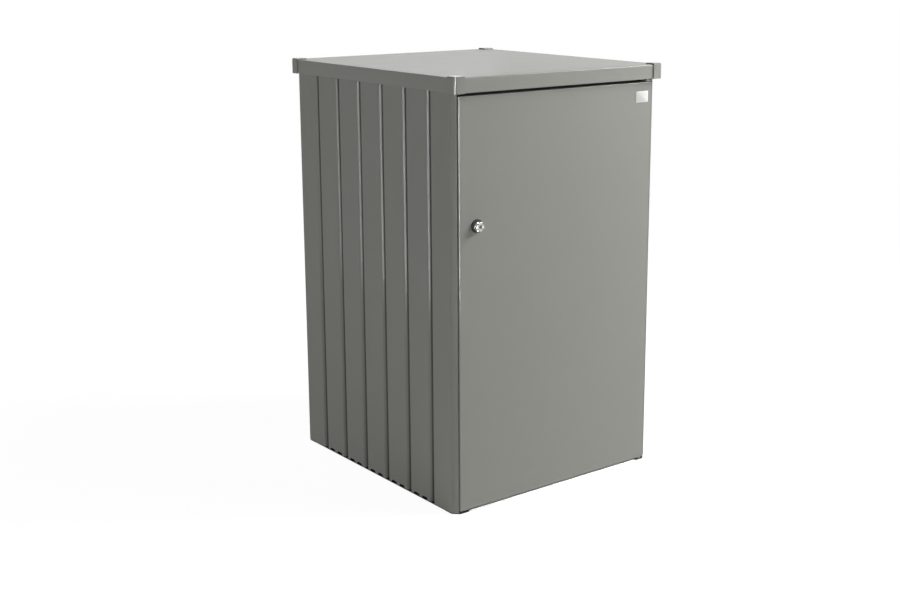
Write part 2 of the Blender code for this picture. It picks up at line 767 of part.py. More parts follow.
def build_lock():
    rosette_low = seat_gap
    rosette_high = rosette_low + rosette_height
    edge = rosette_radius - rosette_edge
    profile = [(rosette_bore, rosette_low), (rosette_radius, rosette_low),
               (rosette_radius, rosette_high - rosette_edge)]
    profile += arc((edge, rosette_high - rosette_edge), rosette_edge, 0, 90, bend_steps)[1:]
    profile += [(housing_rim + seat_gap, rosette_high), (housing_rim + seat_gap, rosette_low + rosette_edge),
                (rosette_bore, rosette_low + rosette_edge)]
    lock_piece("lock_rosette", profile, door_axis, "dark_paint", True)

    rim_low = rosette_low + rosette_edge + seat_gap
    profile = [(housing_bore, -housing_rear), (housing_radius, -housing_rear),
               (housing_radius, rim_low), (housing_rim, rim_low),
               (housing_rim, housing_rim_height), (housing_bore, housing_rim_height)]
    lock_piece("lock_housing", profile, door_axis, "bright_chrome", True)

    plate_front = -(wall_sheet + seat_gap)
    plate_rear = plate_front - plate_thickness
    outline = rectangle(lock_x - plate_width / 2, lock_x + plate_width / 2,
                        lock_height - plate_height / 2, lock_height + plate_height / 2)
    shape = prism(outline, front_face - plate_front, front_face - plate_rear, "Y")
    plate = add_piece("door_lock_plate", shape, (lock_x, front_face - plate_front, lock_height),
                      door_axis, "hinge_steel")
    hole = prism(circle(lock_hole_radius, lock_steps, (lock_x, lock_height)),
                 front_face - plate_front - cut_overrun, front_face - plate_rear + cut_overrun, "Y")
    add_tool("lock_plate_hole", hole, plate, "DIFFERENCE")

    nut_front = front_face - plate_rear + seat_gap
    outline = circle(nut_across / 2 / math.cos(math.pi / 6), 6, (lock_x, lock_height))
    nut = add_piece("lock_nut", prism(outline, nut_front, nut_front + nut_thickness, "Y"),
                    (lock_x, nut_front, lock_height), door_axis, "hinge_steel")
    hole = prism(circle(housing_radius + seat_gap, lock_steps, (lock_x, lock_height)),
                 nut_front - cut_overrun, nut_front + nut_thickness + cut_overrun, "Y")
    add_tool("lock_nut_hole", hole, nut, "DIFFERENCE")

    knob_low = housing_rim_height + seat_gap
    shoulder = knob_low + knob_neck
    flare = knob_radius - knob_neck_radius
    profile = [(knob_bore, knob_low), (knob_neck_radius, knob_low), (knob_neck_radius, shoulder),
               (knob_radius, shoulder + flare / 2), (knob_radius, knob_front - knob_edge)]
    profile += arc((knob_radius - knob_edge, knob_front - knob_edge), knob_edge, 0, 90,
                   corner_steps)[1:]
    profile += [(knob_bore, knob_front)]
    knob = lock_piece("lock_knob", profile, lock_axis, "bright_chrome", True)
    bite = knob_radius - knob_scallop_bite + knob_scallop_radius
    turns = [2 * math.pi * (lobe + 1 / 2) / knob_lobes for lobe in range(knob_lobes)]
    scallops = [prism(circle(knob_scallop_radius, lock_steps, (lock_x + bite * math.cos(turn),
                                                               lock_height + bite * math.sin(turn))),
                      front_face - knob_front - cut_overrun, front_face - shoulder - flare / 2, "Y")
                for turn in turns]
    add_tool("knob_scallops", merge_shapes(*scallops), knob, "DIFFERENCE")

    plug_front = knob_front - plug_inset
    step = plug_front - plug_back
    rear = housing_rear + cam_gap + cam_thickness
    profile = [(0, -rear), (spindle_radius, -rear), (spindle_radius, step), (plug_radius, step),
               (plug_radius, plug_front), (0, plug_front)]
    plug = lock_piece("lock_cylinder", profile, lock_axis, "bright_chrome", False)
    half_slot = keyway_length / 2
    outline = rectangle(lock_x - half_slot, lock_x + half_slot, lock_height - keyway_width / 2,
                        lock_height + keyway_width / 2)
    slot = prism(outline, front_face - knob_front - cut_overrun,
                 front_face - plug_front + keyway_depth, "Y")
    add_tool("keyway", slot, plug, "DIFFERENCE")

    cam_front = front_face + housing_rear + cam_gap
    half_cam = cam_width / 2
    outline = [(lock_x + x, lock_height + z) for x, z in arc((0, 0), half_cam, 0, 180, pin_steps // 2)]
    outline += [(lock_x - half_cam, lock_height - cam_length),
                (lock_x + half_cam, lock_height - cam_length)]
    cam = add_piece("lock_cam", prism(outline, cam_front, cam_front + cam_thickness, "Y"),
                    (lock_x, cam_front, lock_height), lock_axis, "hinge_steel")
    hole = prism(circle(spindle_radius + cam_hole_gap, lock_steps, (lock_x, lock_height)),
                 cam_front - cut_overrun, cam_front + cam_thickness + cut_overrun, "Y")
    add_tool("cam_hole", hole, cam, "DIFFERENCE")

    screw_low = -rear - seat_gap
    profile = [(0, screw_low - cam_screw_head), (cam_screw_radius, screw_low - cam_screw_head),
               (cam_screw_radius, screw_low), (0, screw_low)]
    lock_piece("lock_cam_screw", profile, lock_axis, "hinge_steel", False)

    strike_front = stop_face + frame_sheet + seat_gap
    outer = -(jamb_face - seat_gap)
    outline = rectangle(outer, outer + strike_width, lock_height - strike_height / 2,
                        lock_height + strike_height / 2)
    add_piece("strike_plate", prism(outline, strike_front, strike_front + strike_thickness, "Y"),
              (outer, strike_front, lock_height), shed, "hinge_steel")


def strip_section(middle, low, high):
    """Section of a rubber strip, its free edges bevelled."""
    near = middle - strip_half_width
    far = middle + strip_half_width
    return [(near, low), (far, low), (far, high - math.copysign(strip_edge, high - low)),
            (far - strip_edge, high), (near + strip_edge, high),
            (near, high - math.copysign(strip_edge, high - low))]


def build_rubber_strips():
    start = stop_face - seat_gap
    post_x = -(jamb_face + frame_sheet - stop_flange / 2)
    outline = strip_section(post_x, start, door_back + seat_gap)
    low = door_bottom + strip_from_ends
    add_piece("door_rubber_strip", prism(outline, low, door_top - strip_from_ends, "Z"),
              (post_x, start, low), shed, "black_rubber")
    low = wall_top + seat_gap
    high = lid_under - seat_gap - lid_rail_depth - wall_sheet - seat_gap
    header_front = stop_face + frame_sheet + seat_gap
    header_middle = header_front + header_flange / 2
    lip_back = header_front - seat_gap
    lip_front = lip_back - lid_strip_lip
    lip_low = door_top - lid_strip_overlap
    rear = header_middle + strip_half_width
    outline = [(lip_front, lip_low), (lip_back, lip_low), (lip_back, low), (rear, low),
               (rear, high - strip_edge), (rear - strip_edge, high), (lip_front + strip_edge, high),
               (lip_front, high - strip_edge)]
    add_piece("lid_rubber_strip",
              prism(outline, -lid_strip_half_length, lid_strip_half_length, "X"),
              (0, header_middle, low), shed, "black_rubber")


def lid_profile():
    """Section of the lid as (inset, height below the top) round the rim and under the sheet."""
    radius = lid_bend_radius
    inner = radius - lid_sheet
    far = lid_rim_height
    turns = [math.pi / 2 * step / corner_steps for step in range(corner_steps + 1)]
    outer_bend = [(radius - radius * math.sin(turn), -(radius - radius * math.cos(turn)))
                  for turn in turns]
    inner_bend = [(radius - inner * math.cos(turn), -(radius - inner * math.sin(turn)))
                  for turn in turns]
    hem = [(0, -(far - lid_sheet)), (hem_edge, -(far - hem_edge)), (lid_sheet, -far),
           (2 * lid_sheet - hem_edge, -(far - hem_edge)), (2 * lid_sheet, -(far - lid_sheet)),
           (2 * lid_sheet, -(far - lid_hem)), (lid_sheet, -(far - lid_hem))]
    return outer_bend + hem + inner_bend


def corner_outline(inner_x, inner_y, outer_x, outer_y, radius, x_way, y_way):
    """A rectangle with its outer corner rounded, flipped into one of the four corners."""
    bend = arc((outer_x - radius, outer_y - radius), radius, 0, 90, corner_steps)
    outline = [(inner_x, inner_y), (outer_x, inner_y)] + bend + [(inner_x, outer_y)]
    return [(x_way * x, y_way * y) for x, y in outline]


def bevel_outer_top(shape, x_way, y_way):
    """Round the two outer edges of a cap's top and of its foot."""
    chosen = []
    for edge in shape.edges:
        first, second = edge.verts
        middle = (first.co + second.co) / 2
        level = abs(first.co.z - second.co.z) < merge_distance
        inner = (abs(middle.x) < lid_width / 2 - cap_end_leg / 2 - cap_edge
                 and abs(middle.y) < lid_depth / 2 - cap_side_leg / 2 - cap_edge)
        at_top = abs(middle.z - shed_height) < merge_distance
        if level and at_top and not inner:
            on_side = abs(first.co.x) > lid_width / 2 - cap_corner_radius - merge_distance
            on_end = abs(first.co.y) > lid_depth / 2 - cap_corner_radius - merge_distance
            side_too = abs(second.co.x) > lid_width / 2 - cap_corner_radius - merge_distance
            end_too = abs(second.co.y) > lid_depth / 2 - cap_corner_radius - merge_distance
            if (on_side and side_too) or (on_end and end_too):
                chosen.append(edge)
    bmesh.ops.bevel(shape, geom=chosen, offset=cap_edge, offset_type="OFFSET",
                    segments=bend_steps, affect="EDGES")


def build_lid():
    shape = tray(lid_half_x, lid_half_y, lid_corner_radius, lid_profile(), (0, 0, lid_top), "Z")
    add_piece("lid_panel", shape, (0, lid_axis_y, lid_axis_height), lid_axis, "lid_paint")

    cap_low = lid_bottom - cap_drop
    for y_name, y_way in (("front", -1), ("rear", 1)):
        for side_name, x_way in SIDES:
            inner_x = lid_width / 2 - cap_end_leg
            inner_y = lid_depth / 2 - cap_side_leg
            outline = corner_outline(inner_x, inner_y, lid_width / 2, lid_depth / 2,
                                     cap_corner_radius, x_way, y_way)
            shape = prism(outline, cap_low, shed_height, "Z")
            bevel_outer_top(shape, x_way, y_way)
            corner = (x_way * lid_width / 2, y_way * lid_depth / 2, shed_height)
            cap = add_piece("lid_cap_" + y_name + "_" + side_name, shape, corner, lid_axis,
                            "lid_paint")
            outline = corner_outline(inner_x - cut_overrun, inner_y - cut_overrun, cap_inner_x,
                                     cap_inner_y, cap_corner_radius - cap_proud, x_way, y_way)
            hollow = prism(outline, cap_low - cut_overrun, lid_top + seat_gap, "Z")
            add_tool("cap_hollow_" + y_name + "_" + side_name, hollow, cap, "DIFFERENCE")


def hat_outline(centre, level):
    """Section of a hat rail under the lid: flanges at the sheet, crown below."""
    half = lid_rail_crown / 2
    outer = half + lid_rail_slope + lid_rail_flange
    near = level - wall_sheet / 2
    far = near - lid_rail_depth
    hat = [(-outer, near), (-half - lid_rail_slope, near), (-half, far), (half, far),
           (half + lid_rail_slope, near), (outer, near)]
    path = fillet_path([(centre + u, v) for u, v in hat], hat_bend_radius, bend_steps)
    return strip_outline(path, wall_sheet)


def lid_rail_half():
    return lid_rail_crown / 2 + lid_rail_slope + lid_rail_flange


def build_lid_rails():
    level = lid_under - seat_gap
    inner_x = lid_half_x - 2 * lid_sheet - lid_rail_edge_gap
    side_x = inner_x - lid_rail_half()
    front_y = -lid_half_y + lid_rail_front_setback + lid_rail_half()
    rear_end = lid_half_y - lid_rail_rear_setback
    add_piece("lid_rail_front", prism(hat_outline(front_y, level), -inner_x, inner_x, "X"),
              (0, front_y, level), lid_axis, "frame_paint")
    side_start = front_y + lid_rail_half() + seat_gap
    for side_name, side in SIDES:
        shape = prism(hat_outline(side * side_x, level), side_start, rear_end, "Y")
        add_piece("lid_rail_" + side_name, shape, (side * side_x, side_start, level), lid_axis,
                  "frame_paint")


def knuckle_arc(first, last):
    return arc((lid_axis_y, lid_axis_height), knuckle_mid_radius, first, last, knuckle_steps)


def build_lid_hinges():
    half_leaf = leaf_width / 2
    half_middle = half_leaf * middle_knuckle_share
    wall_line = lid_axis_y - knuckle_mid_radius
    rim_line = lid_half_y - 2 * lid_sheet - seat_gap - leaf_sheet / 2
    ring = knuckle_mid_radius + leaf_sheet / 2
    wall_path = [Vector((wall_line, lid_axis_height - leaf_height))]
    wall_path += [Vector(point) for point in knuckle_arc(180, -180 + wall_curl_opening)]
    sweep_low = lid_axis_height - knuckle_mid_radius
    lid_path = fillet_path([(rim_line, lid_axis_height + lid_leaf_height), (rim_line, sweep_low),
                            (lid_axis_y, sweep_low)], bend_radius / 2, bend_steps)
    lid_path += [Vector(point) for point in knuckle_arc(270, lid_curl_opening)][1:]
    low = (lid_axis_height - ring - leaf_notch_drop)
    for side_name, side in SIDES:
        centre = side * lid_hinge_place
        wall_leaf = add_piece("lid_hinge_wall_leaf_" + side_name,
                              prism(strip_outline(wall_path, leaf_sheet), centre - half_leaf,
                                    centre + half_leaf, "X"),
                              (centre, lid_axis_y, lid_axis_height), shed, "hinge_steel")
        notch = block((centre - half_middle - leaf_end_gap, wall_line - ring, low),
                      (centre + half_middle + leaf_end_gap, lid_axis_y + 2 * ring,
                       lid_axis_height + 2 * ring))
        add_tool("wall_leaf_notch_" + side_name, notch, wall_leaf, "DIFFERENCE")
        lid_leaf = add_piece("lid_hinge_lid_leaf_" + side_name,
                             prism(strip_outline(lid_path, leaf_sheet), centre - half_leaf,
                                   centre + half_leaf, "X"),
                             (centre, lid_axis_y, lid_axis_height), lid_axis, "hinge_steel")
        ends = [block((centre + low_share * half_leaf - cut_overrun * (low_share < 0),
                       wall_line - ring, sweep_low - ring),
                      (centre + high_share * half_leaf + cut_overrun * (high_share > 0),
                       rim_line + ring, lid_axis_height + 2 * ring))
                for low_share, high_share in ((-1, -middle_knuckle_share),
                                              (middle_knuckle_share, 1))]
        add_tool("lid_leaf_notch_" + side_name, merge_shapes(*ends), lid_leaf, "DIFFERENCE")
        half_pin = half_leaf + lid_pin_overhang
        shape = turned([(0, -half_pin), (lid_pin_radius, -half_pin), (lid_pin_radius, half_pin),
                        (0, half_pin)], pin_steps, (centre, lid_axis_y, lid_axis_height),
                       (1, 0, 0), False)
        add_piece("lid_hinge_pin_" + side_name, shape, (centre, lid_axis_y, lid_axis_height),
                  shed, "hinge_steel")


def stud_shape(side, pivot_y, pivot_z, head_radius):
    """A shouldered stud that points inwards from its bracket's plate."""
    shoulder_end = stud_shoulder
    pin_end = shoulder_end + 2 * eye_side_gap + 2 * eye_half_width
    profile = [(0, -bracket_sheet / 2), (stud_shoulder_radius, -bracket_sheet / 2),
               (stud_shoulder_radius, shoulder_end), (stud_radius, shoulder_end),
               (stud_radius, pin_end), (head_radius, pin_end), (head_radius, pin_end + stud_head),
               (0, pin_end + stud_head)]
    return turned(profile, strut_steps, (side * stud_face, pivot_y, pivot_z), (-side, 0, 0), False)


def build_struts():
    along = Vector((0, upper_pivot_y - lower_pivot_y, upper_pivot_z - lower_pivot_z)).normalized()
    across = Vector((0, -along.z, along.y))
    seat = along * (upper_reach + seat_lift) + across * seat_side
    reach = seat.length
    direction = seat.normalized()
    plate_line = stud_face + bracket_sheet / 2
    leg_face = half_width - frame_inset - frame_sheet - seat_gap
    base_line = leg_face - bracket_sheet / 2
    for side_name, side in SIDES:
        tilt = strut_axes[side_name]
        web = lower_pivot_y + bracket_reach
        corners = [(side * plate_line, lower_pivot_y - bracket_reach), (side * plate_line, web),
                   (side * base_line, web), (side * base_line, web + bracket_base)]
        path = fillet_path(corners, bend_radius / 2, bend_steps)
        shape = prism(strip_outline(path, bracket_sheet), lower_pivot_z - bracket_height / 2,
                      lower_pivot_z + bracket_height / 2, "Z")
        bracket = add_piece("strut_lower_bracket_" + side_name, shape,
                            (side * stud_face, lower_pivot_y, lower_pivot_z), shed, "hinge_steel")
        add_tool("lower_stud_" + side_name,
                 stud_shape(side, lower_pivot_y, lower_pivot_z, lower_eye_radius), bracket, "UNION")

        rail_low = lid_under - 2 * seat_gap - lid_rail_depth - wall_sheet
        level = rail_low - bracket_sheet / 2
        rail_x = lid_half_x - 2 * lid_sheet - lid_rail_edge_gap - lid_rail_half()
        corners = [(side * plate_line, upper_pivot_z - bracket_drop), (side * plate_line, level),
                   (side * (rail_x + lid_rail_crown / 2), level)]
        path = fillet_path(corners, bend_radius / 2, bend_steps)
        half_bracket = upper_bracket_depth / 2
        shape = prism(strip_outline(path, bracket_sheet), upper_pivot_y - half_bracket,
                      upper_pivot_y + half_bracket, "Y")
        bracket = add_piece("strut_upper_bracket_" + side_name, shape,
                            (side * stud_face, upper_pivot_y, upper_pivot_z), lid_axis,
                            "hinge_steel")
        add_tool("upper_stud_" + side_name,
                 stud_shape(side, upper_pivot_y, upper_pivot_z, stud_head_radius), bracket, "UNION")

        lower = Vector((side * strut_x, lower_pivot_y, lower_pivot_z))
        top = cylinder_start + cylinder_length
        edge = cylinder_edge
        bore = rod_radius + rod_gap
        profile = [(0, 0), (cylinder_radius - edge, 0), (cylinder_radius, edge),
                   (cylinder_radius, top - cylinder_start - edge),
                   (cylinder_radius - edge, top - cylinder_start), (bore, top - cylinder_start),
                   (bore, cylinder_floor), (0, cylinder_floor)]
        start = lower + direction * cylinder_start
        cylinder = add_piece("strut_cylinder_" + side_name,
                             turned(profile, strut_steps, start, direction, False), lower, tilt,
                             "strut_black")
        eye = turned(ring_profile(0, lower_eye_radius, -eye_half_width, eye_half_width),
                     strut_steps, lower, (1, 0, 0), False)
        add_tool("lower_eye_" + side_name, eye, cylinder, "UNION")
        neck = turned([(0, 0), (fitting_radius, 0), (fitting_radius, cylinder_start + edge),
                       (0, cylinder_start + edge)], strut_steps, lower, direction, False)
        add_tool("lower_neck_" + side_name, neck, cylinder, "UNION")
        hole = prism(circle(stud_radius + stud_gap, strut_steps, (lower_pivot_y, lower_pivot_z)),
                     side * strut_x - eye_half_width - cut_overrun,
                     side * strut_x + eye_half_width + cut_overrun, "X")
        add_tool("lower_eye_hole_" + side_name, hole, cylinder, "DIFFERENCE")

        eye_centre = lower + direction * reach
        rod_start = cylinder_start + cylinder_floor + rod_end_gap
        rod_end = reach - upper_eye_bore
        profile = [(0, rod_start), (rod_radius, rod_start),
                   (rod_radius, rod_end - fitting_length), (fitting_radius, rod_end - fitting_length),
                   (fitting_radius, rod_end - (upper_eye_radius - upper_eye_bore) / 2),
                   (0, rod_end - (upper_eye_radius - upper_eye_bore) / 2)]
        rod = add_piece("strut_rod_" + side_name,
                        turned(profile, strut_steps, lower, direction, False), eye_centre, tilt,
                        "bright_chrome")
        eye = turned(ring_profile(upper_eye_bore, upper_eye_radius, -eye_half_width,
                                  eye_half_width), strut_steps, eye_centre, (1, 0, 0), True)
        add_tool("upper_eye_" + side_name, eye, rod, "UNION")


clear_scene()
materials = {name: make_material(name, *values) for name, values in FINISHES.items()}
shed = add_empty("shed_reference", (0, 0, 0), None)
shed.location.y = knob_overreach / 2
door_axis = add_empty("door_axis", (pin_x, pin_y, door_bottom), shed)
lock_axis = add_empty("lock_axis", (lock_x, front_face, lock_height), door_axis)
lid_axis = add_empty("lid_axis", (0, lid_axis_y, lid_axis_height), shed)
strut_axes = {side_name: add_empty("strut_axis_" + side_name,
                                   (side * strut_x, lower_pivot_y, lower_pivot_z), shed)
              for side_name, side in SIDES}
build_walls()
build_posts()
build_ground_frame()
build_top_frame()
build_door()
build_door_pins()
build_lock()
build_rubber_strips()
build_lid()
build_lid_rails()
build_lid_hinges()
build_struts()
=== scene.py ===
import json
import math

import bmesh
import bpy
from mathutils import Matrix, Vector

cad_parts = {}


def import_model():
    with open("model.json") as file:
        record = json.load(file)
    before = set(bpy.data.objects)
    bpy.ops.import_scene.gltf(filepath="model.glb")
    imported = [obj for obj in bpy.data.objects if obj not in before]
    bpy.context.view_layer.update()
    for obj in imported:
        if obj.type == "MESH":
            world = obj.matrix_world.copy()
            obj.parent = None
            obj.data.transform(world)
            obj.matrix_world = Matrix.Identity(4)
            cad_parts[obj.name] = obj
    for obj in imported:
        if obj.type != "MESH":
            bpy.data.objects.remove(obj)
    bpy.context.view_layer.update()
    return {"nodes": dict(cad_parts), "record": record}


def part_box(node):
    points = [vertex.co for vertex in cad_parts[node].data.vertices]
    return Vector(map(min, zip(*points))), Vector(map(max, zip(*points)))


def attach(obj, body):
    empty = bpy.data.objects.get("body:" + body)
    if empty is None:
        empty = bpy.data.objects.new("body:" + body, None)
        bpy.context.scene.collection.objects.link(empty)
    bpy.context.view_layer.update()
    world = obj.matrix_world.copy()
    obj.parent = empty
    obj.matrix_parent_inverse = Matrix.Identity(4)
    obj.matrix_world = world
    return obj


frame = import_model()
nodes = frame["nodes"]

# Directions, and the two sides with their direction along X
LEFT, RIGHT = (-1, 0, 0), (1, 0, 0)
FRONT, REAR = (0, -1, 0), (0, 1, 0)
DOWN, UP = (0, 0, -1), (0, 0, 1)
SIDES = (("left", -1), ("right", 1))

# The camera that was fitted to the photograph, in pixels, millimetres, metres and degrees
PICTURE_WIDTH_PX = 900
PICTURE_HEIGHT_PX = 600
FOCAL_PX = 1374.7
CENTRE_PX = (492.29, 262.0)
SENSOR_MM = 36.0
CAMERA_PLACE = (-2.6549, -3.4645, 1.6259)
CAMERA_YAW = 38.264
CAMERA_PITCH = 12.749
CAMERA_REACH = 300

# Floor and world, in metres. Between the two radii of its fade, the strength of the floor's
# own white light, and that light's share in what the camera sees, go from near to far
FLOOR_RADIUS = 8.0
FLOOR_SEGMENTS = 96
FLOOR_DROP = 0.0002
FLOOR_COLOUR = (0.90, 0.90, 0.89)
FLOOR_FADE = (1.5, 5.0)
FLOOR_GLOW = (1.25, 1.0)
FLOOR_GLOW_SHARE = (0.75, 1.0)
WHITE = (1, 1, 1)
WORLD_COLOUR = (0.98, 0.99, 1.0)
WORLD_LIGHT = 0.05

# Shading, in degrees and metres: faces that meet at less than a bend's angle look smooth, in
# the model's nodes and in new pieces, and edges sharper than the rounded edge's get rounded
NODE_BEND = 34
PIECE_BEND = 35
ROUNDED_EDGE = 50
EDGE_ROUNDING = 0.0003
EDGE_STEPS = 2
SAME_CORNER = 0.00001
LARGEST_FACES_FIRST = 100

# Linear colours, chosen by the photograph's tones
SHEET_GREY = (0.290, 0.290, 0.268)
FRAME_GREY = (0.235, 0.235, 0.22)
# Dark grey: the rosette's own colour, and painted shade on the front header and the base rails
DARK_AND_SHADE_GREY = (0.040, 0.040, 0.039)
ZINC_GREY = (0.40, 0.40, 0.39)
CHROME_GREY = (0.50, 0.50, 0.49)
KEYWAY_GREY = (0.10, 0.10, 0.10)
ROD_GREY = (0.72, 0.72, 0.71)
PLATE_WHITE = (0.74, 0.74, 0.73)
PLATE_FIELD_WHITE = (0.66, 0.66, 0.65)
ENAMEL_BLACKS = ((0.014, 0.014, 0.015), (0.022, 0.022, 0.022))
RUBBER_BLACKS = ((0.012, 0.012, 0.012), (0.03, 0.03, 0.03))
NYLON_GREYS = ((0.36, 0.36, 0.34), (0.42, 0.42, 0.40))

# Bare plate on the door, in metres: where its middle is, and the sizes of plate and field
PLATE_FROM_EDGE = 0.0400
PLATE_FROM_TOP = 0.0451
PLATE_SUNK = 0.0001
PLATE = {"half_width": 0.0250, "half_height": 0.0170, "thickness": 0.0009,
         "corner": 0.0015, "rim": 0.0004}
PLATE_FIELD = {"half_width": 0.0212, "half_height": 0.0132, "thickness": 0.0010,
               "corner": 0.0008, "rim": 0.0001}
SMALLEST_CORNER = 0.0002
CORNER_STEPS = 4
RIM_MIDDLE = 0.3

# Rivets, in metres: heads, the mandrel's pit, and the dome's steps as shares of the radius
# and of the height
HINGE_RIVET = {"radius": 0.0034, "height": 0.0012}
RIVET = {"radius": 0.003, "height": 0.0009}
TAB_RIVET = {"radius": 0.0026, "height": 0.0008}
RIVET_SIDES = 14
RIVET_DOME = ((1.0, 0.0), (0.97, 0.35), (0.80, 0.78), (0.55, 1.0))
PIT_RADIUS = 0.0011
PIT_FLOOR_SHARE = 0.8
PIT_FLOOR_RISE = 0.45

# Sheets that rivets sit on, the gap between seated sheets and the depth of the walls'
# grooves, as in the model, in metres
LEAF_SHEET = 0.0015
BRACKET_SHEET = 0.0015
HINGE_TAB = 0.0018
SEAT_GAP = 0.0003
GROOVE_DEPTH = 0.011

# Where the rivets are, in metres from the middle or an end of what they hold
LEAF_COLUMNS = (-0.021, 0.0, 0.021)
WALL_LEAF_ROWS = (0.010, 0.026)
LID_LEAF_ROW = 0.024
STRUT_WALL_ROWS = (-0.011, 0.011)
STRUT_WALL_FROM_REAR = 0.007
STRUT_LID_COLUMNS = (-0.008, 0.008)
STRUT_LID_FROM_SIDE = 0.011
STRIKE_RIVET_FROM_END = 0.007
LOCK_RIVET_FROM_END = 0.008
THRESHOLD_RIVET_FROM_END = 0.012
TAB_RIVET_FROM_EDGE = 0.006

# Face of the key cylinder and its slot, in metres: rises are from the cylinder's front
KEY_SIDES = 28
KEY_FACE_RADIUS = 0.0052
KEY_FACE_BEVEL = 0.0005
KEY_FACE_RIM = 0.0003
KEY_FACE_RISE = 0.0006
KEY_FIELD_RADIUS = 0.0030
SLOT_HALF_LENGTH = 0.0022
SLOT_HALF_WIDTH = 0.0005
SLOT_FLOOR_RISE = 0.0001


# Helpers for meshes and pieces
def link(obj):
    bpy.context.scene.collection.objects.link(obj)
    return obj


def circle(radius, sides):
    turns = [2 * math.pi * k / sides for k in range(sides)]
    return [(radius * math.cos(turn), radius * math.sin(turn)) for turn in turns]


def rounded_rectangle(half_width, half_height, corner):
    points = []
    for quarter, (su, sv) in enumerate(((1, 1), (-1, 1), (-1, -1), (1, -1))):
        for step in range(CORNER_STEPS + 1):
            turn = math.pi / 2 * (quarter + step / CORNER_STEPS)
            points.append((su * (half_width - corner) + corner * math.cos(turn),
                           sv * (half_height - corner) + corner * math.sin(turn)))
    return points


def on_front(centre, outline, rise):
    """An outline's points on a face that looks to the front, raised from the centre's place."""
    return [(centre[0] + u, centre[1] - rise, centre[2] + v) for u, v in outline]


def loft(bm, loops):
    """Join loops of points one after another and close both ends. The last may be one point."""
    rings = [[bm.verts.new(point) for point in loop] for loop in loops]
    for low, high in zip(rings, rings[1:]):
        for k in range(len(low)):
            j = (k + 1) % len(low)
            if len(high) == 1:
                bm.faces.new((low[k], low[j], high[0]))
            else:
                bm.faces.new((low[k], low[j], high[j], high[k]))
    bm.faces.new(rings[0])
    if len(rings[-1]) > 1:
        bm.faces.new(rings[-1])


def mesh_piece(name, bm, material, body):
    bmesh.ops.recalc_face_normals(bm, faces=bm.faces)
    mesh = bpy.data.meshes.new(name)
    bm.to_mesh(mesh)
    bm.free()
    mesh.shade_smooth()
    mesh.set_sharp_from_angle(angle=math.radians(PIECE_BEND))
    mesh.materials.append(material)
    obj = link(bpy.data.objects.new(name, mesh))
    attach(obj, body)


def smooth_group():
    """A modifier that shades bends smooth and keeps sharp edges sharp."""
    group = bpy.data.node_groups.new("smooth_bends", "GeometryNodeTree")
    for way in ("INPUT", "OUTPUT"):
        group.interface.new_socket("Geometry", in_out=way, socket_type="NodeSocketGeometry")
    start = group.nodes.new("NodeGroupInput")
    end = group.nodes.new("NodeGroupOutput")
    weld = group.nodes.new("GeometryNodeMergeByDistance")
    weld.inputs["Distance"].default_value = SAME_CORNER
    angle = group.nodes.new("GeometryNodeInputMeshEdgeAngle")
    bend = group.nodes.new("FunctionNodeCompare")
    bend.data_type = "FLOAT"
    bend.operation = "LESS_EQUAL"
    bend.inputs[1].default_value = math.radians(NODE_BEND)
    faces = group.nodes.new("GeometryNodeSetShadeSmooth")
    faces.domain = "FACE"
    edges = group.nodes.new("GeometryNodeSetShadeSmooth")
    edges.domain = "EDGE"
    for output, socket in ((start.outputs[0], weld.inputs["Geometry"]),
                           (weld.outputs["Geometry"], faces.inputs["Geometry"]),
                           (faces.outputs["Geometry"], edges.inputs["Geometry"]),
                           (angle.outputs["Unsigned Angle"], bend.inputs[0]),
                           (bend.outputs["Result"], edges.inputs["Shade Smooth"]),
                           (edges.outputs["Geometry"], end.inputs[0])):
        group.links.new(output, socket)
    return group


SMOOTH = smooth_group()


def dress(name, material, rounding):
    """Give a node of the model its material, rounded edges and smooth bends."""
    obj = nodes[name]
    obj.data.materials.clear()
    obj.data.materials.append(material)
    change = obj.modifiers.new("smooth", "NODES")
    change.node_group = SMOOTH
    if rounding:
        edge = obj.modifiers.new("edges", "BEVEL")
        edge.width = rounding
        edge.segments = EDGE_STEPS
        edge.limit_method = "ANGLE"
        edge.angle_limit = math.radians(ROUNDED_EDGE)
        edge.harden_normals = True
    flat = obj.modifiers.new("flat_faces", "WEIGHTED_NORMAL")
    flat.keep_sharp = True
    flat.weight = LARGEST_FACES_FIRST


